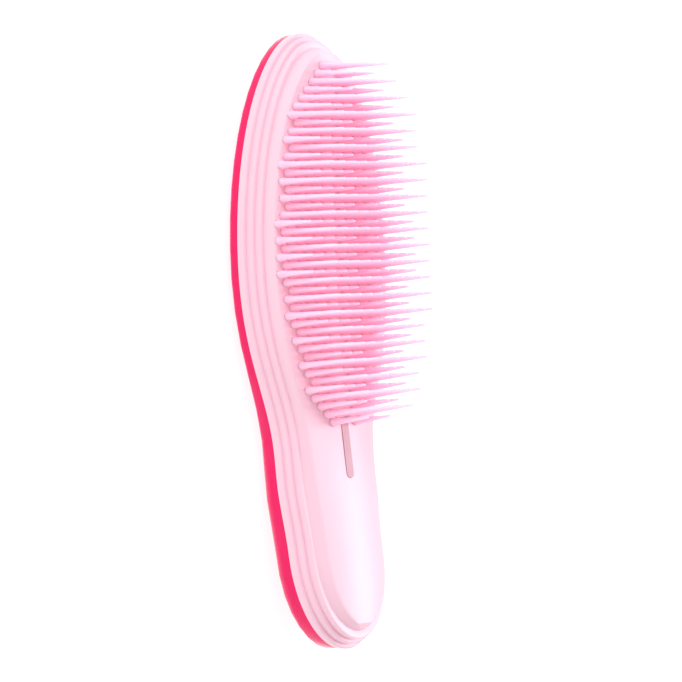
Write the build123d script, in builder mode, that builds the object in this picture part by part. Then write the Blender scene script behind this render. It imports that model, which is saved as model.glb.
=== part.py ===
"""Detangling hair brush: a glossy back cover, a terraced body and a pad of flexible teeth in two lengths.

The brush lies on its back with the teeth up (+Z), the head tip towards +X, symmetric about the XZ plane.
Every level is measured from the rim, the joint line between cover and body, which follows a gently curved
spine. A station is a distance along that spine from the end of the handle. All sizes are in millimetres.
"""

from build123d import *
from math import cos, degrees, pi, sin, sqrt
import os

# Spine: three tangent arcs, all hollow towards the teeth
length = 224.0
grip_run = 60.0
neck_run = 65.0
grip_bend_radius = 2200.0
neck_bend_radius = 690.0
head_bend_radius = 1035.0
level_station = 140.0  # where the spine runs level and the back touches the table

# Outline of the rim, seen along Z
head_half_width = 32.3
head_round_length = 84.0
grip_half_width = 22.1
grip_widest = 59.0
waist_half_width = 21.9
waist_station = 75.0
neck_half_width = 27.9
neck_station = 104.0
grip_end_half_width = 20.8
grip_round_length = 34.0

# Body: three terraces, then a slanted shoulder up to the front face
terraces = 3
terrace_height = 3.1
terrace_side_step = 1.35
terrace_end_step = 1.75
terrace_round = 0.7
wall = 2.2
ledge_thickness = 1.2
face_thickness = 2.0
head_wall = 1.0
grip_face_inset = 6.8
head_face_inset = 4.2
end_face_inset = 6.7
face_height = 15.3  # on the centre line
grip_edge_height = 13.0
head_edge_height = 14.9
grip_face_round = 1.8  # between the shoulder and the face
head_face_round = 1.0
face_blend_start = 74.0
face_blend_end = 112.0
face_sections = 30

# Back cover
cover_wall = 2.2
cover_edge = 2.5
grip_dome = 11.0
head_dome = 7.0
dome_power = 2.6  # 2 is an ellipse, more is a fuller edge
dome_blend_start = 50.0
dome_blend_end = 110.0
cover_sections = 30
rest_flat = 0.3  # how far the flat that the brush rests on cuts into the dome
cover_points = 7
spigot_thickness = 1.4
spigot_root = 3.0
snap_ridge = 0.35
snap_low = 0.6
snap_high = 1.1
rib_thickness = 1.6
head_rib_stations = (104.0, 130.0, 156.0, 182.0)
grip_rib_stations = (28.0, 52.0)
grip_rib_height = 6.5
rib_side_gap = 0.5

# Teeth and the pad that carries them
tooth_pitch = 5.15
row_pitch = 3.043
tip_to_first_row = 12.05
field_tip_margin = 10.5
field_side_margin = 5.6
field_centre = 148.0
field_neck_reach = 69.0
long_first_column = 0.6
short_first_column = 1.1
long_tooth = 27.6
short_tooth = 18.25
tooth_brow = 1.56  # how much shorter a tooth is at the side of the field
tooth_root_radius = 1.0
tooth_tip_radius = 0.38
pad_thickness = 1.6
pad_margin = 2.5
support_thickness = 1.8
tongue_width = 3.3
tongue_start = 62.0
tongue_proud = 0.3
tongue_base_width = 8.0
tongue_base_margin = 3.0

# Clearances
fit_clearance = 0.1
spigot_top_clearance = 0.3
stack_clearance = 0.05
spigot_clearance = 0.15
hole_clearance = 0.05

# Derived levels
foot_height = terraces * terrace_height
spigot_height = terrace_height - ledge_thickness - spigot_top_clearance
foot_side_inset = terraces * terrace_side_step
foot_end_inset = terraces * terrace_end_step
cavity_side_inset = foot_side_inset + head_wall
cavity_end_inset = foot_end_inset + head_wall
pad_low = face_height - face_thickness - pad_thickness
support_low = pad_low - support_thickness
cover_depth = cover_edge + head_dome - rest_flat
least_crown = 0.01  # keeps the face's arcs from going flat
form_end_gap = 0.2  # construction sections stop this far inside the foot's ends
form_end_share = 0.3  # the face's width there, as a share of the foot's
least_flank = 0.4  # keeps the shoulder from standing upright
least_rise = 0.2  # keeps the shoulder from lying flat
least_top_slope = 0.7  # faces whose normals rise more than this are a step's top
field_tip_reach = length - field_tip_margin - field_centre
hole_run = 3 * (face_thickness + pad_thickness)  # long enough to pass through pad and face
reach = 60.0  # half the size of construction blocks that are cut back later
overlap = 1.0  # how far a cut runs past the surface that it opens
run_out = 8.0  # how far construction surfaces run past both ends

tongue_end = field_centre - field_neck_reach + pad_margin + tongue_base_margin

bends = (
    (grip_run, grip_bend_radius),
    (neck_run, neck_bend_radius),
    (length - grip_run - neck_run, head_bend_radius),
)


def walk(station, angle):
    """Distance along X and Z and the slope at a station, for a spine that starts level with this slope."""
    x = z = done = 0.0
    for index, (run, radius) in enumerate(bends):
        step = station - done
        if index < len(bends) - 1:
            step = min(step, run)
        turn = step / radius
        x += radius * (sin(angle + turn) - sin(angle))
        z += radius * (cos(angle) - cos(angle + turn))
        angle += turn
        done += run
        if station <= done:
            break
    return x, z, angle


start_slope = -walk(level_station, 0)[2]
level_x, level_z, _ = walk(level_station, start_slope)
centre_x = walk(length, start_slope)[0] / 2


def spine(station):
    """Plane on the rim level at a station: x along the brush, z towards the teeth."""
    x, z, slope = walk(station, start_slope)
    return Plane(
        origin=(x - centre_x, 0, z - level_z + cover_depth),
        x_dir=(cos(slope), 0, sin(slope)),
        z_dir=(-sin(slope), 0, cos(slope)),
    )


handle_x = spine(0).origin.X
tip_x = spine(length).origin.X


def rail(level):
    """The spine's three arcs at a height above the rim, drawn in the XZ plane."""
    first = spine(-run_out)
    start = first.origin + first.z_dir * level
    point = (start.X, start.Z)
    tangent = (first.x_dir.X, first.x_dir.Z)
    arcs = []
    for index, (run, radius) in enumerate(bends):
        span = run
        if index in (0, len(bends) - 1):
            span = run + run_out
        arc = JernArc(point, tangent, radius - level, degrees(span / radius))
        point = arc @ 1
        tangent = arc % 1
        arcs.append(arc)
    return arcs[0] @ 0, arcs[-1] @ 1


def slab(low, high):
    """Everything between two heights above the rim."""
    with BuildSketch(Plane.XZ) as side:
        with BuildLine():
            low_start, low_end = rail(low)
            high_start, high_end = rail(high)
            Line(low_start, high_start)
            Line(low_end, high_end)
        make_face()
    with BuildPart() as block:
        extrude(side.sketch, amount=reach, both=True)
    return block.part


def outline(grip_inset, head_inset, end_inset):
    """The brush's outline seen along Z, made smaller by an inset at the grip, the head and both ends."""
    middle_inset = (grip_inset + head_inset) / 2
    with BuildSketch() as plan:
        with BuildLine():
            tip = EllipticalCenterArc(
                (tip_x - head_round_length, 0),
                head_round_length - end_inset,
                head_half_width - head_inset,
                start_angle=0,
                arc_size=90,
            )
            end = EllipticalCenterArc(
                (handle_x + grip_round_length, 0),
                grip_round_length - end_inset,
                grip_end_half_width - grip_inset,
                start_angle=90,
                arc_size=90,
            )
            Spline(
                tip @ 1,
                (handle_x + neck_station, neck_half_width - head_inset),
                (handle_x + waist_station, waist_half_width - middle_inset),
                (handle_x + grip_widest, grip_half_width - grip_inset),
                end @ 0,
                tangents=((-1, 0), (-1, 0)),
            )
            mirror(about=Plane.XZ)
        make_face()
    return plan.sketch


def column(sketch):
    """A plan shape run straight up and down through the brush."""
    with BuildPart() as block:
        extrude(sketch, amount=reach, both=True)
    return block.part


def band(side_inset, end_inset, low, high):
    """The brush's outline, made smaller, between two heights above the rim."""
    with BuildPart() as block:
        add(column(outline(side_inset, side_inset, end_inset)))
        add(slab(low, high), mode=Mode.INTERSECT)
    return block.part


def half_width(plan, station):
    """Half the width of a plan outline at a station, 0 beyond its ends."""
    x = spine(station).origin.X
    cut = plan.face().intersect(Edge.make_line((x, 0, 0), (x, reach, 0)))
    if not cut:
        return 0.0
    return sum(edge.length for edge in cut)


def mix(grip_value, head_value, station, start=face_blend_start, end=face_blend_end):
    """The grip's value up to start, the head's from end on, and a smooth change between them."""
    share = min(max((station - start) / (end - start), 0.0), 1.0)
    return grip_value + (head_value - grip_value) * share * share * (3 - 2 * share)


def across(station):
    """Plane square to the spine: x along Y, y towards the teeth."""
    frame = spine(station)
    return Plane(origin=frame.origin, x_dir=(0, 1, 0), z_dir=frame.x_dir)


def face_section(station, plan, foot_plan):
    """Half width, edge height and centre height of the front face, and the half width at its foot."""
    half = half_width(plan, station)
    foot_half = half_width(foot_plan, station)
    edge = mix(grip_edge_height, head_edge_height, station)
    crown = face_height - edge
    if station < grip_round_length:
        crown *= (half / (grip_end_half_width - grip_face_inset)) ** 2
    if half == 0:
        from_end = min(station, length - station)
        rise = max(from_end - foot_end_inset, 0) / (end_face_inset - foot_end_inset)
        edge = foot_height + (edge - foot_height) * min(rise, 1)
        half = form_end_share * foot_half
    return half, edge, edge + crown, foot_half


def front_form(drop, rounded=False):
    """Everything below the front face and its slanted shoulder, lowered by a drop."""
    plan = outline(grip_face_inset, head_face_inset, end_face_inset)
    foot_plan = outline(foot_side_inset, foot_side_inset, foot_end_inset)
    ends = foot_end_inset + form_end_gap
    with BuildPart() as form:
        for station in stations(face_sections, ends, length - ends):
            half, edge, top, foot_half = face_section(station, plan, foot_plan)
            flank = max(foot_half - half, least_flank)
            rise = max(edge - foot_height, least_rise)
            out = half + 2 * flank
            low = edge - 2 * rise
            with BuildSketch(across(station)):
                with BuildLine():
                    ThreePointArc((-half, edge - drop), (0, top + least_crown - drop), (half, edge - drop))
                    Polyline(
                        (half, edge - drop),
                        (out, low - drop),
                        (out, -reach / 2),
                        (-out, -reach / 2),
                        (-out, low - drop),
                        (-half, edge - drop),
                    )
                make_face()
                if rounded:
                    radius = min(mix(grip_face_round, head_face_round, station), half / 3, rise)
                    fillet(vertices().group_by(Axis.Y)[-1], radius=radius)
        loft(ruled=True)
    return form.part


def stations(count, first, last):
    """Stations that crowd towards both ends, where the shape changes fastest."""
    for index in range(count + 1):
        yield first + (last - first) * (1 - cos(pi * index / count)) / 2


def dome_depth(station):
    """Depth of the back's dome below the cover's edge on the centre line."""
    depth = mix(grip_dome, head_dome, station, dome_blend_start, dome_blend_end)
    short = max(1 - station / grip_round_length, 1 - (length - station) / head_round_length, 0)
    return depth * (1 - short**dome_power) ** (1 / dome_power)


def back_form(lift):
    """Everything above the domed back, with the back raised by a lift."""
    plan = outline(0, 0, 0)
    with BuildPart() as form:
        for station in stations(cover_sections, form_end_gap, length - form_end_gap):
            half = half_width(plan, station)
            depth = dome_depth(station)
            lower = -cover_edge + lift
            points = []
            for index in range(-cover_points, cover_points + 1):
                angle = pi / 2 * index / cover_points
                w = abs(sin(angle)) ** (2 / dome_power) * half
                n = cos(angle) ** (2 / dome_power) * depth if abs(index) < cover_points else 0
                points.append((w if index > 0 else -w, lower - n))
            with BuildSketch(across(station)):
                with BuildLine():
                    Spline(*points)
                    Polyline(points[-1], (half, reach / 2), (-half, reach / 2), points[0])
                make_face()
        loft(ruled=True)
    return form.part


def outer_top_edges(part):
    """The edges where the upward faces of a band meet its walls."""
    tops = part.faces().filter_by(lambda face: face.normal_at().Z > least_top_slope)
    edges = tops.edges()
    return ShapeList(e for e in edges if sum(e.is_same(other) for other in edges) == 1)


def field_oval(margin):
    """Plan oval round the tooth field, with a margin outside it."""
    x = spine(field_centre).origin.X
    half = head_half_width - field_side_margin + margin
    with BuildSketch() as oval:
        with BuildLine():
            EllipticalCenterArc((x, 0), field_tip_reach + margin, half, start_angle=-90, arc_size=180)
            EllipticalCenterArc((x, 0), field_neck_reach + margin, half, start_angle=90, arc_size=180)
        make_face()
    return oval.sketch


def teeth_columns(first_row, first_column):
    """For each column of every other row: its distance from the centre line and its stations."""
    columns = {}
    half = head_half_width - field_side_margin
    row = first_row
    while True:
        station = length - tip_to_first_row - row * row_pitch
        along = station - field_centre
        share = along / (field_tip_reach if along > 0 else field_neck_reach)
        if share <= -1:
            return columns
        limit = half * sqrt(1 - share * share)
        w = first_column * tooth_pitch
        while w <= limit:
            columns.setdefault(round(w, 6), []).append(station)
            w += tooth_pitch
        row += 2


def tooth_planes(w, column_stations):
    """Planes at the feet of one column's teeth, on both sides of the centre line."""
    for station in column_stations:
        frame = spine(station)
        for side in (-1, 1):
            yield Plane(
                origin=frame.origin + frame.y_dir * (side * w) + frame.z_dir * pad_low,
                x_dir=frame.x_dir,
                z_dir=frame.z_dir,
            )


def tooth(height):
    """One tooth: a straight root through pad and face, then a taper to a round tip."""
    root = face_thickness + pad_thickness
    with BuildPart() as form:
        with BuildSketch(Plane.XZ):
            with BuildLine():
                Polyline(
                    (0, root + height),
                    (0, 0),
                    (tooth_root_radius, 0),
                    (tooth_root_radius, root),
                    (tooth_tip_radius, root + height - tooth_tip_radius),
                )
                RadiusArc(
                    (tooth_tip_radius, root + height - tooth_tip_radius),
                    (0, root + height),
                    -tooth_tip_radius,
                )
            make_face()
        revolve(axis=Axis.Z)
    return form.part


def tooth_group(columns, full_height):
    """All teeth of one length. Towards the sides of the field they are a little shorter."""
    half = head_half_width - field_side_margin
    with BuildPart() as group:
        for w, column_stations in columns.items():
            form = tooth(full_height - tooth_brow * (w / half) ** 2)
            with Locations(*tooth_planes(w, column_stations)):
                add(form)
    return group.part


def tongue_plan(width, start):
    """A strip on the centre line with a round end towards the handle."""
    x = spine(start).origin.X
    end_x = spine(tongue_end).origin.X
    with BuildSketch() as strip:
        with Locations((x + width / 2, 0)):
            Circle(width / 2)
            Rectangle(end_x - x - width / 2, width, align=(Align.MIN, Align.CENTER))
    return strip.sketch


def common(*parts):
    """What several construction solids have in common."""
    with BuildPart() as block:
        add(parts[0])
        for part in parts[1:]:
            add(part, mode=Mode.INTERSECT)
    return block.part


def terrace(step):
    """One step of the body's side, with its upper outer edge rounded."""
    low = step * terrace_height
    with BuildPart() as block:
        add(band(step * terrace_side_step, step * terrace_end_step, low, low + terrace_height))
        fillet(outer_top_edges(block.part), radius=terrace_round)
    return block.part


def terrace_hollow(step):
    """The room inside one step of the body's side."""
    top = (step + 1) * terrace_height - ledge_thickness
    return band(step * terrace_side_step + wall, step * terrace_end_step + wall, -overlap, top)


def rib(station, top):
    """A wall across the inside of the cover, up to a height above the rim."""
    with BuildPart() as block:
        with BuildSketch(across(station)):
            Rectangle(2 * reach, 2 * reach)
        extrude(amount=rib_thickness / 2, both=True)
    inside = column(
        outline(
            cavity_side_inset + rib_side_gap,
            cavity_side_inset + rib_side_gap,
            cavity_end_inset + rib_side_gap,
        )
    )
    return common(block.part, inside, slab(-reach / 2, top), rib_floor)


def finish(part, name):
    """Names a finished piece and writes its file."""
    part.label = name
    export_step(part, f"parts/{name}.step", write_pcurves=False)


os.makedirs("parts", exist_ok=True)

# Construction solids that several pieces share
front = front_form(0, rounded=True)
face_underside = front_form(face_thickness)
pad_top = front_form(face_thickness + stack_clearance)
tongue_top = front_form(-tongue_proud)
back = back_form(0)
rib_floor = back_form(cover_wall / 2)

# Teeth
long_columns = teeth_columns(0, long_first_column)
short_columns = teeth_columns(1, short_first_column)
finish(tooth_group(long_columns, long_tooth), "long_teeth")
finish(tooth_group(short_columns, short_tooth), "short_teeth")

with BuildPart() as tooth_holes:
    for columns in (long_columns, short_columns):
        for w, column_stations in columns.items():
            starts = [plane.offset(-overlap) for plane in tooth_planes(w, column_stations)]
            with Locations(*starts):
                Cylinder(
                    tooth_root_radius + hole_clearance,
                    hole_run,
                    align=(Align.CENTER, Align.CENTER, Align.MIN),
                )

# Body: terraces, shoulder and pierced front face in one moulding
terrace_steps = [terrace(step) for step in range(terraces)]
shoulder = common(band(foot_side_inset, foot_end_inset, foot_height, reach / 2), front)
hollows = [terrace_hollow(step) for step in range(terraces)]
hollows.append(common(band(cavity_side_inset, cavity_end_inset, 0, reach / 2), face_underside))
groove_inset = wall - snap_ridge
snap_groove = band(groove_inset, groove_inset, snap_low - fit_clearance, snap_high + fit_clearance)
tongue_slot = common(
    column(tongue_plan(tongue_width + 2 * fit_clearance, tongue_start - fit_clearance)),
    slab(pad_low, reach / 2),
)
with BuildPart() as body:
    add(terrace_steps)
    add(shoulder)
    add(hollows, mode=Mode.SUBTRACT)
    add(snap_groove, mode=Mode.SUBTRACT)
    add(tongue_slot, mode=Mode.SUBTRACT)
    add(tooth_holes.part, mode=Mode.SUBTRACT)
finish(body.part, "body")

# Pad: the flexible web behind the face, with the tongue that shows in the grip
web_inset = cavity_side_inset + fit_clearance
web = common(
    column(field_oval(pad_margin)),
    band(web_inset, cavity_end_inset + fit_clearance, pad_low, reach / 2),
    pad_top,
)
tongue_base = common(
    column(tongue_plan(tongue_base_width, tongue_start - tongue_base_margin)),
    slab(pad_low, reach / 2),
    pad_top,
)
tongue = common(column(tongue_plan(tongue_width, tongue_start)), slab(pad_low, reach / 2), tongue_top)
with BuildPart() as tooth_pad:
    add(web)
    add(tongue_base)
    add(tongue)
    add(tooth_holes.part, mode=Mode.SUBTRACT)
finish(tooth_pad.part, "tooth_pad")

# Support plate: keeps the pad from being pushed back by the hair
with BuildPart() as pad_support:
    add(column(field_oval(pad_margin)))
    add(
        band(
            web_inset,
            cavity_end_inset + fit_clearance,
            support_low,
            pad_low - stack_clearance,
        ),
        mode=Mode.INTERSECT,
    )
    add(pad_top, mode=Mode.INTERSECT)
finish(pad_support.part, "pad_support")

# Back cover: domed shell, spigot with a snap ridge, and ribs that back the support plate
shell = common(column(outline(0, 0, 0)), slab(-reach / 2, 0), back)
shell_hollow = common(
    column(outline(cover_wall, cover_wall, cover_wall)),
    slab(-reach / 2, overlap),
    back_form(cover_wall),
)
spigot_outer = cover_wall + spigot_clearance
spigot_inner = spigot_outer + spigot_thickness
ridge_inset = spigot_outer - snap_ridge
root_inset = cover_wall / 2
with BuildPart() as back_cover:
    add(shell)
    add(shell_hollow, mode=Mode.SUBTRACT)
    add(common(band(root_inset, root_inset, -spigot_root, 0), back))
    add(band(spigot_outer, spigot_outer, -spigot_root / 2, spigot_height))
    add(band(ridge_inset, ridge_inset, snap_low, snap_high))
    add(
        common(band(spigot_inner, spigot_inner, -spigot_root, spigot_height + overlap), rib_floor),
        mode=Mode.SUBTRACT,
    )
    for station in head_rib_stations:
        add(rib(station, support_low - stack_clearance))
    for station in grip_rib_stations:
        add(rib(station, grip_rib_height))
    with Locations((0, 0, -reach / 2)):
        Box(length + reach, 2 * reach, reach, mode=Mode.SUBTRACT)
finish(back_cover.part, "back_cover")
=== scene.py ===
"""Looks of a handled detangling hair brush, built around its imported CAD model.

The brush lies on its back on a white floor, with its teeth up. Run the file as a script in Blender.
"""

import math

import bpy
import numpy as np
from bpy.props import FloatProperty, FloatVectorProperty, IntProperty, PointerProperty
from mathutils import Matrix, Vector


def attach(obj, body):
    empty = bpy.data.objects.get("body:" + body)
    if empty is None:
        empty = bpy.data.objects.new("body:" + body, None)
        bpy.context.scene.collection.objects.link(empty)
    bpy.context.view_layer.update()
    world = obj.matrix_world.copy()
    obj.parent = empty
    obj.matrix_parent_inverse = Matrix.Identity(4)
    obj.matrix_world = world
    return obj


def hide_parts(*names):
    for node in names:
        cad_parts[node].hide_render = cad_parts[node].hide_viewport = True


bl_info = {
    "name": "Detangling Brush",
    "version": (1, 0, 0),
    "blender": (4, 5, 0),
    "location": "View3D > Sidebar > Brush",
    "description": "Shapes and finishes of a detangling hair brush",
    "category": "Object",
}

MM = 0.001
WHITE = (1.0, 1.0, 1.0, 1.0)

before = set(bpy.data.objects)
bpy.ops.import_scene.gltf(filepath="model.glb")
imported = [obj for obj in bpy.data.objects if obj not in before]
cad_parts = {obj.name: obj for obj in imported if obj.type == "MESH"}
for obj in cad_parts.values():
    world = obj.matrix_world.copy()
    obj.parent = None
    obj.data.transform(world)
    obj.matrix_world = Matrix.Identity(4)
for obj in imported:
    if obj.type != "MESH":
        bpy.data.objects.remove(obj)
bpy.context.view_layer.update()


class BrushShape(bpy.types.PropertyGroup):
    """Sizes that the brush's looks add to its CAD model."""

    weld: FloatProperty(
        name="Weld",
        description="Vertices closer than this become one",
        default=0.002 * MM,
        unit="LENGTH",
    )
    crease: FloatProperty(
        name="Crease",
        description="Faces that meet at less than this angle are shaded as one surface",
        default=math.radians(24),
        subtype="ANGLE",
    )
    tooth_sides: IntProperty(name="Tooth sides", description="Faces round each tooth", default=10)
    tooth_waist: FloatProperty(
        name="Tooth waist",
        description="Radius of a tooth where its flare ends",
        default=0.95 * MM,
        unit="LENGTH",
    )
    tooth_tip: FloatProperty(
        name="Tooth tip",
        description="Radius of a tooth's round tip",
        default=0.38 * MM,
        unit="LENGTH",
    )
    tooth_flare: FloatProperty(
        name="Tooth flare",
        description="Radius of a tooth where it meets the face",
        default=1.62 * MM,
        unit="LENGTH",
    )
    tooth_sunk: FloatProperty(
        name="Tooth sunk",
        description="How far a tooth's root reaches below the face",
        default=0.3 * MM,
        unit="LENGTH",
    )


class BrushColours(bpy.types.PropertyGroup):
    """Base colours of the brush's finishes."""

    cover: FloatVectorProperty(
        name="Cover",
        description="Hot pink of the back cover",
        default=(0.86, 0.004, 0.12),
        subtype="COLOR",
    )
    body: FloatVectorProperty(
        name="Body",
        description="Pale pink of the body",
        default=(0.94, 0.6, 0.71),
        subtype="COLOR",
    )
    teeth: FloatVectorProperty(
        name="Teeth",
        description="Mid pink of the teeth",
        default=(0.98, 0.52, 0.66),
        subtype="COLOR",
    )
    # A shade lighter than the teeth's pink: painted light that stands in for light passing through the
    # thin tips.
    tooth_tips: FloatVectorProperty(
        name="Tooth tips",
        description="Pink of the teeth's thin tips",
        default=(0.98, 0.53, 0.67),
        subtype="COLOR",
    )
    pad_shade: FloatProperty(
        name="Pad shade",
        description="The thick pad's and tongue's colour, as a share of the teeth's",
        default=0.64,
        subtype="FACTOR",
    )
    support: FloatVectorProperty(
        name="Support",
        description="Plain pink of the plate inside",
        default=(0.85, 0.5, 0.6),
        subtype="COLOR",
    )


class BrushStage(bpy.types.PropertyGroup):
    """Camera, lights and floor."""

    lens: FloatProperty(name="Lens", description="Focal length in millimetres", default=174.03)
    distance: FloatProperty(
        name="Distance",
        description="From the camera to the brush",
        default=1.201,
        unit="LENGTH",
    )
    pivot: FloatVectorProperty(
        name="Pivot",
        description="Point on the brush that the camera's angles turn about",
        default=(0.02775, 0.0, 0.0092),
        subtype="TRANSLATION",
    )
    lean: FloatProperty(
        name="Lean",
        description="The camera's angle from straight above the teeth towards the brush's side",
        default=math.radians(44.19),
        subtype="ANGLE",
    )
    swing: FloatProperty(
        name="Swing",
        description="The camera's angle towards the head's tip",
        default=math.radians(-2.14),
        subtype="ANGLE",
    )
    roll: FloatProperty(
        name="Roll",
        description="Turn of the picture about its middle",
        default=math.radians(-2.76),
        subtype="ANGLE",
    )
    framing: FloatVectorProperty(
        name="Framing",
        description="Where the picture's middle lies right of and above the pivot, in metres",
        size=2,
        default=(0.01384, -0.02772),
    )
    floor: FloatProperty(name="Floor", description="Width of the floor", default=6.0, unit="LENGTH")
    sky: FloatProperty(name="Sky", description="Strength of the even white light", default=0.71)
    glow: FloatProperty(name="Glow", description="Light that the floor gives by itself", default=0.85)
    front: FloatProperty(name="Front", description="Watts of the light by the camera", default=1.0)
    key: FloatProperty(name="Key", description="Watts of the light beyond the head", default=6.0)
    fill: FloatProperty(name="Fill", description="Watts of the light over the far side", default=7.5)


class Wire:
    """A number that a shader node gives, used in sums."""

    def __init__(self, finish, socket):
        self.finish = finish
        self.socket = socket

    def maths(self, operation, first, second):
        return self.finish.add("Math", {"operation": operation}, {0: first, 1: second})

    def __add__(self, other):
        return self.maths("ADD", self, other)

    def __mul__(self, other):
        return self.maths("MULTIPLY", self, other)

    __radd__ = __add__
    __rmul__ = __mul__


class Finish:
    """A material and the nodes that make it."""

    def __init__(self, name):
        self.material = bpy.data.materials.new(name)
        self.material.use_nodes = True
        self.tree = self.material.node_tree
        self.tree.nodes.clear()

    def add(self, kind, settings=None, values=None, output=0):
        """One node: its settings first, then the values or links of its sockets."""
        node = self.tree.nodes.new("ShaderNode" + kind)
        for key, value in (settings or {}).items():
            setattr(node, key, value)
        for key, value in (values or {}).items():
            if isinstance(value, Wire):
                self.tree.links.new(value.socket, node.inputs[key])
            else:
                node.inputs[key].default_value = value
        return Wire(self, node.outputs[output]) if node.outputs else None

    def noise(self, size, detail=2.0):
        """Soft noise from 0 to 1 whose blotches are about this size in metres."""
        place = self.add("TexCoord", output="Object")
        return self.add("TexNoise", values={"Vector": place, "Scale": 1 / size, "Detail": detail})

    def blend(self, share, first, second):
        """A colour between two colours."""
        settings = {"data_type": "RGBA"}
        return self.add("Mix", settings, {"Factor": share, 6: first, 7: second}, output=2)

    def blotches(self, colour, size, darkest, lightest):
        """A colour that wanders between two shades of itself."""
        return self.blend(self.noise(size), shade(colour, darkest), shade(colour, lightest))

    def uneven(self, size, least, extra, detail=2.0):
        """A number that wanders above its least value by up to the extra."""
        return least + extra * self.noise(size, detail)

    def relief(self, size, depth, detail=2.0):
        """A surface normal tilted by noise of this size and at most this depth, both in metres."""
        height = self.noise(size, detail)
        return self.add("Bump", values={"Height": height, "Distance": depth, "Strength": 1.0})

    def principled(self, **values):
        """Ends the material in one Principled shader."""
        sockets = {name.replace("_", " "): value for name, value in values.items()}
        shader = self.add("BsdfPrincipled", values=sockets)
        self.add("OutputMaterial", values={"Surface": shader})
        return self.material


def shade(colour, factor=1.0):
    """A colour made darker or lighter, with full alpha."""
    return (*(min(channel * factor, 1.0) for channel in colour), 1.0)


def gloss_material(colour):
    """High-gloss moulding: even colour, a faint waviness and a clear skin that shines at its edge."""
    f = Finish("cover_gloss")
    return f.principled(
        Base_Color=f.blotches(colour, size=30 * MM, darkest=0.94, lightest=1.04),
        Roughness=f.uneven(size=9 * MM, least=0.14, extra=0.08, detail=3.0),
        Normal=f.relief(size=6 * MM, depth=0.01 * MM, detail=1.0),
        Specular_IOR_Level=0.0,
        Coat_Weight=1.0,
        Coat_Roughness=0.04,
        Coat_IOR=1.3,
        Sheen_Weight=0.8,
        Sheen_Roughness=0.25,
        Sheen_Tint=(1.0, 0.8, 0.87, 1.0),
    )


def satin_material(colour):
    """Satin moulding: nearly even colour with a very fine grain."""
    f = Finish("body_shell")
    return f.principled(
        Base_Color=f.blotches(colour, size=25 * MM, darkest=0.975, lightest=1.015),
        Roughness=f.uneven(size=4 * MM, least=0.3, extra=0.12, detail=3.0),
        Normal=f.relief(size=0.5 * MM, depth=0.003 * MM),
    )


def elastomer_material(name, root_colour, tip_colour, scatter, glow):
    """Smooth flexible moulding whose colour shifts from a tooth's root to its tip.

    Light spreads below its surface over the scatter's distance. A lighter tip colour is painted light
    that stands in for light passing through thin tips, and the glow is painted light too: an emission
    that stands in for light which comes through from behind.
    """
    mottle_size = 5 * MM
    mottle_share = 0.12
    mottle_shade = 0.8
    f = Finish(name)
    rise = f.add("Attribute", {"attribute_name": "rise"}, output="Fac")
    # Painted light: the lighter tip colour stands in for light passing through the thin tips.
    tint = f.blend(rise * rise, shade(root_colour), shade(tip_colour))
    mottle = f.noise(mottle_size) * mottle_share
    return f.principled(
        Base_Color=f.blend(mottle, tint, shade(root_colour, mottle_shade)),
        Roughness=f.uneven(size=1.5 * MM, least=0.3, extra=0.12),
        Normal=f.relief(size=0.6 * MM, depth=0.003 * MM),
        Subsurface_Weight=1.0,
        Subsurface_Radius=(1.0, 0.7, 0.8),
        Subsurface_Scale=scatter,
        # Painted light: the glow makes the moulding shine in its own colour in place of light from behind.
        Emission_Color=shade(root_colour),
        Emission_Strength=glow,
    )


def plain_material(colour):
    """Unpolished moulding with a fine spark-eroded grain."""
    f = Finish("inner_plastic")
    return f.principled(
        Base_Color=f.blotches(colour, size=12 * MM, darkest=0.95, lightest=1.03),
        Roughness=f.uneven(size=2 * MM, least=0.55, extra=0.15),
        Normal=f.relief(size=0.4 * MM, depth=0.01 * MM),
    )


def floor_material(glow):
    """Matt floor that gives enough light of its own to look white."""
    blotch_size = 0.4
    darker_grey = (0.3, 0.3, 0.3, 1.0)
    lighter_grey = (0.32, 0.32, 0.32, 1.0)
    f = Finish("floor_white")
    return f.principled(
        Base_Color=f.blend(f.noise(blotch_size), darker_grey, lighter_grey),
        Roughness=0.9,
        Emission_Color=WHITE,
        Emission_Strength=glow,
    )


def pick(*objects):
    """Selects these objects alone. The last one is active."""
    bpy.ops.object.select_all(action="DESELECT")
    for piece in objects:
        piece.select_set(True)
    bpy.context.view_layer.objects.active = objects[-1]


def settle(piece, node, material):
    """Gives a piece its material and its body, and hides the CAD node that it stands for."""
    piece.data.materials.clear()
    piece.data.materials.append(material)
    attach(piece, "root")
    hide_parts(node)


def skin(node, name):
    """A copy of a CAD node with its faces welded together and shaded smooth up to the crease angle."""
    shape = bpy.context.scene.brush_shape
    piece = bpy.data.objects.new(name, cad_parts[node].data.copy())
    bpy.context.scene.collection.objects.link(piece)
    pick(piece)
    bpy.ops.mesh.customdata_custom_splitnormals_clear()
    bpy.ops.object.mode_set(mode="EDIT")
    bpy.ops.mesh.select_all(action="SELECT")
    bpy.ops.mesh.remove_doubles(threshold=shape.weld)
    bpy.ops.object.mode_set(mode="OBJECT")
    bpy.ops.object.shade_smooth_by_angle(angle=shape.crease)
    return piece


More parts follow.
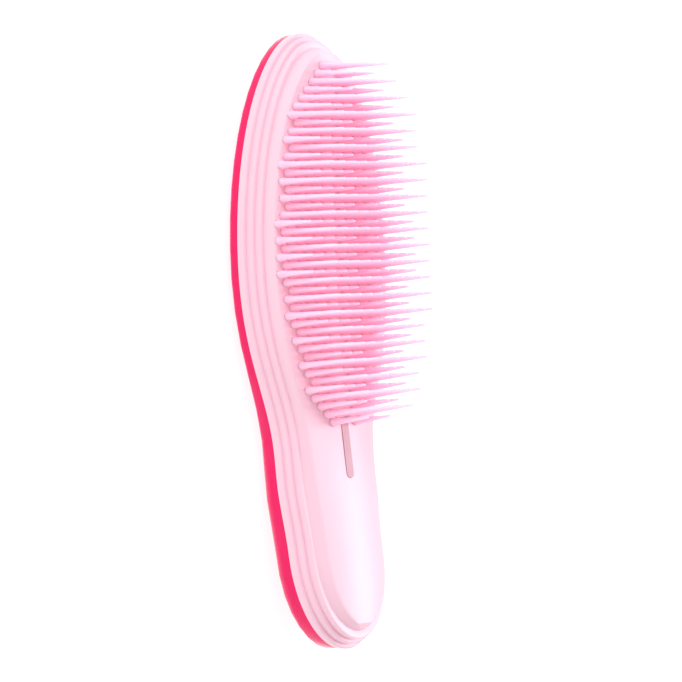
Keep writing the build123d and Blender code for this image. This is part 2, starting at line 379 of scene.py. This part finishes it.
def tooth_axes(node):
    """Root centre and tip of every tooth in a CAD node.

    Triangles that share a place belong to one tooth: each place takes the lowest label among its
    neighbours until nothing changes. A tooth's highest place is its tip, and the ring of places
    that lie furthest from the tip is its root.
    """
    decimals = 7
    ring_margin = 0.01 * MM
    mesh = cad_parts[node].data
    points = np.empty(len(mesh.vertices) * 3, np.float32)
    mesh.vertices.foreach_get("co", points)
    points = points.reshape(-1, 3)
    corners = np.empty(len(mesh.loops), np.int32)
    mesh.loops.foreach_get("vertex_index", corners)
    places, joined = np.unique(np.round(points, decimals), axis=0, return_inverse=True)
    triangles = joined.reshape(-1)[corners].reshape(-1, 3)
    label = np.arange(len(places))
    while True:
        lowest = label[triangles].min(axis=1)
        spread = label.copy()
        for corner in range(3):
            np.minimum.at(spread, triangles[:, corner], lowest)
        if (spread == label).all():
            break
        label = spread[spread]
    axes = []
    for tooth in np.unique(label):
        cloud = places[label == tooth].astype(float)
        tip = cloud[cloud[:, 2].argmax()]
        reach = np.linalg.norm(cloud - tip, axis=1)
        ring = cloud[reach > reach.max() - ring_margin]
        axes.append((Vector(ring.mean(axis=0)), Vector(tip)))
    return axes


def tooth_rings(shape, height):
    """Radius and height of each ring of a tooth, from just above its root up to its tip."""
    flare = shape.tooth_flare - shape.tooth_waist
    flare_left = ((0.93, 0.35 * MM), (0.5, 2.2 * MM), (0.12, 5.5 * MM))
    tip = shape.tooth_tip
    tip_rounding = ((1.05, 1.0), (0.7, 0.3))
    rings = [(shape.tooth_waist + share * flare, level) for share, level in flare_left]
    rings += [(width * tip, height - below * tip) for width, below in tip_rounding]
    return rings


def model_tooth(height):
    """One tooth standing on the face at the origin, with a flared root and a round tip."""
    shape = bpy.context.scene.brush_shape
    radius = shape.tooth_flare
    level = -shape.tooth_sunk
    bpy.ops.object.select_all(action="DESELECT")
    bpy.ops.mesh.primitive_circle_add(
        vertices=shape.tooth_sides, radius=radius, fill_type="NGON", location=(0, 0, level)
    )
    tooth = bpy.context.object
    bpy.ops.object.transform_apply(location=True)
    bpy.ops.object.mode_set(mode="EDIT")
    bpy.ops.mesh.select_mode(type="EDGE")
    bpy.ops.mesh.select_all(action="SELECT")
    for ring_radius, ring_level in tooth_rings(shape, height):
        bpy.ops.mesh.extrude_edges_move(TRANSFORM_OT_translate={"value": (0, 0, ring_level - level)})
        bpy.ops.transform.resize(value=(ring_radius / radius, ring_radius / radius, 1))
        radius = ring_radius
        level = ring_level
    bpy.ops.mesh.extrude_edges_move(TRANSFORM_OT_translate={"value": (0, 0, height - level)})
    bpy.ops.mesh.merge(type="CENTER")
    bpy.ops.mesh.select_all(action="SELECT")
    bpy.ops.mesh.normals_make_consistent(inside=False)
    bpy.ops.object.mode_set(mode="OBJECT")
    bpy.ops.object.shade_smooth()
    rise = tooth.data.attributes.new("rise", "FLOAT", "POINT")
    for vertex, share in zip(tooth.data.vertices, rise.data):
        share.value = max(vertex.co.z, 0) / height
    return tooth


def face_height(face, root, along):
    """How far above a tooth's root the face is, just beside that tooth on its inner side."""
    beside = 1.9 * MM
    above = 12 * MM
    inward = Vector((0, -math.copysign(beside, root.y), 0))
    hit, place, _, _ = face.ray_cast(root + along * above + inward, -along)
    if not hit:
        raise RuntimeError("a tooth stands clear of the face")
    return (place - root).dot(along)


def plant_teeth(node, name, material):
    """Every tooth of a CAD node, modelled once and copied to each tooth's axis."""
    face = bpy.data.objects["body_skin"]
    bpy.context.view_layer.update()
    copies = []
    model = None
    for root, tip in tooth_axes(node):
        along = (tip - root).normalized()
        rise = face_height(face, root, along)
        height = (tip - root).length - rise
        if model is None:
            model = model_tooth(height)
            model_height = height
        turn = along.to_track_quat("Z", "Y").to_matrix().to_4x4()
        stretch = Matrix.Diagonal((1, 1, height / model_height, 1))
        mesh = model.data.copy()
        mesh.transform(Matrix.Translation(root + along * rise) @ turn @ stretch)
        tooth = bpy.data.objects.new(name, mesh)
        bpy.context.scene.collection.objects.link(tooth)
        copies.append(tooth)
    bpy.data.objects.remove(model)
    pick(*copies)
    bpy.ops.object.join()
    teeth = bpy.context.object
    teeth.name = name
    settle(teeth, node, material)


def lamp(name, place, size, power):
    """A square soft light that points at the middle of the floor."""
    bpy.ops.object.light_add(type="AREA", location=place)
    light = bpy.context.object
    light.name = name
    light.data.size = size
    light.data.energy = power
    light.rotation_mode = "QUATERNION"
    light.rotation_quaternion = Vector(place).to_track_quat("Z", "Y")


def white_world(strength):
    """Even white light from all round."""
    world = bpy.data.worlds.new("studio")
    world.use_nodes = True
    background = world.node_tree.nodes["Background"]
    background.inputs["Color"].default_value = WHITE
    background.inputs["Strength"].default_value = strength
    return world


def camera_pose(stage):
    """The camera's place and its turn, worked out from the stage's angles and framing."""
    pivot = Vector(stage.pivot)
    back = Vector(
        (
            math.sin(stage.swing),
            math.sin(stage.lean) * math.cos(stage.swing),
            math.cos(stage.lean) * math.cos(stage.swing),
        )
    )
    up = (Vector((1, 0, 0)) - back * back.x).normalized()
    right = up.cross(back)
    turned_right = right * math.cos(stage.roll) + up * math.sin(stage.roll)
    turned_up = up * math.cos(stage.roll) - right * math.sin(stage.roll)
    place = pivot + back * stage.distance
    middle = pivot + turned_right * stage.framing[0] + turned_up * stage.framing[1]
    aim = (place - middle).normalized()
    side = turned_up.cross(aim).normalized()
    turn = Matrix((side, aim.cross(side), aim)).transposed().to_quaternion()
    return place, turn


class BRUSH_OT_cover(bpy.types.Operator):
    """Glossy domed back cover"""

    bl_idname = "hairbrush.cover"
    bl_label = "Back Cover"

    def execute(self, context):
        piece = skin("back_cover", "cover_skin")
        settle(piece, "back_cover", gloss_material(context.scene.brush_colours.cover))
        return {"FINISHED"}


class BRUSH_OT_body(bpy.types.Operator):
    """Pale body with its terraces, shoulder and pierced front face"""

    bl_idname = "hairbrush.body"
    bl_label = "Body"

    def execute(self, context):
        piece = skin("body", "body_skin")
        settle(piece, "body", satin_material(context.scene.brush_colours.body))
        return {"FINISHED"}


class BRUSH_OT_pad(bpy.types.Operator):
    """Flexible pad behind the face and its tongue in the grip"""

    bl_idname = "hairbrush.pad"
    bl_label = "Pad"

    def execute(self, context):
        colours = context.scene.brush_colours
        piece = skin("tooth_pad", "pad_skin")
        dense = [channel * colours.pad_shade for channel in colours.teeth]
        material = elastomer_material("pad_elastomer", dense, dense, scatter=0.3 * MM, glow=0.0)
        settle(piece, "tooth_pad", material)
        return {"FINISHED"}


class BRUSH_OT_teeth(bpy.types.Operator):
    """Long and short teeth, which stand on the body"""

    bl_idname = "hairbrush.teeth"
    bl_label = "Teeth"

    def execute(self, context):
        colours = context.scene.brush_colours
        # The teeth's glow and their slightly lighter tips are painted light, standing in for light that
        # passes through them.
        material = elastomer_material(
            "tooth_elastomer", colours.teeth, colours.tooth_tips, scatter=4 * MM, glow=0.16
        )
        plant_teeth("long_teeth", "long_tooth_set", material)
        plant_teeth("short_teeth", "short_tooth_set", material)
        return {"FINISHED"}


class BRUSH_OT_support(bpy.types.Operator):
    """Finish of the plate behind the pad"""

    bl_idname = "hairbrush.support"
    bl_label = "Support Plate"

    def execute(self, context):
        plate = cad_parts["pad_support"]
        plate.data.materials.clear()
        plate.data.materials.append(plain_material(context.scene.brush_colours.support))
        return {"FINISHED"}


class BRUSH_OT_stage(bpy.types.Operator):
    """White floor, soft lights and the camera"""

    bl_idname = "hairbrush.stage"
    bl_label = "Stage"

    def execute(self, context):
        stage = context.scene.brush_stage
        bpy.ops.object.select_all(action="DESELECT")
        bpy.ops.mesh.primitive_plane_add(size=stage.floor)
        floor = context.object
        floor.name = "floor"
        floor.data.materials.append(floor_material(stage.glow))

        context.scene.world = white_world(stage.sky)
        lamp("front_light", place=(-0.05, 0.85, 0.8), size=0.45, power=stage.front)
        lamp("key_light", place=(0.95, 0.4, 0.85), size=0.6, power=stage.key)
        lamp("fill_light", place=(-0.1, -0.85, 0.95), size=0.6, power=stage.fill)
        context.scene.view_settings.view_transform = "Standard"

        place, turn = camera_pose(stage)
        bpy.ops.object.camera_add(location=place)
        camera = context.object
        camera.rotation_mode = "QUATERNION"
        camera.rotation_quaternion = turn
        camera.data.lens = stage.lens
        context.scene.camera = camera
        return {"FINISHED"}


class BRUSH_PT_panel(bpy.types.Panel):
    """Lists the brush's pieces and the stage"""

    bl_idname = "BRUSH_PT_panel"
    bl_label = "Detangling Brush"
    bl_space_type = "VIEW_3D"
    bl_region_type = "UI"
    bl_category = "Brush"

    def draw(self, context):
        for operator in OPERATORS:
            self.layout.operator(operator.bl_idname)


GROUPS = {"brush_shape": BrushShape, "brush_colours": BrushColours, "brush_stage": BrushStage}
OPERATORS = (BRUSH_OT_cover, BRUSH_OT_body, BRUSH_OT_pad, BRUSH_OT_teeth, BRUSH_OT_support, BRUSH_OT_stage)


def register():
    for group in GROUPS.values():
        bpy.utils.register_class(group)
    for name, group in GROUPS.items():
        setattr(bpy.types.Scene, name, PointerProperty(type=group))
    for operator in OPERATORS:
        bpy.utils.register_class(operator)
    bpy.utils.register_class(BRUSH_PT_panel)


def unregister():
    bpy.utils.unregister_class(BRUSH_PT_panel)
    for operator in reversed(OPERATORS):
        bpy.utils.unregister_class(operator)
    for name, group in GROUPS.items():
        delattr(bpy.types.Scene, name)
        bpy.utils.unregister_class(group)


def main():
    register()
    bpy.ops.hairbrush.cover()
    bpy.ops.hairbrush.body()
    bpy.ops.hairbrush.pad()
    bpy.ops.hairbrush.teeth()
    bpy.ops.hairbrush.support()
    bpy.ops.hairbrush.stage()


if __name__ == "__main__":
    main()
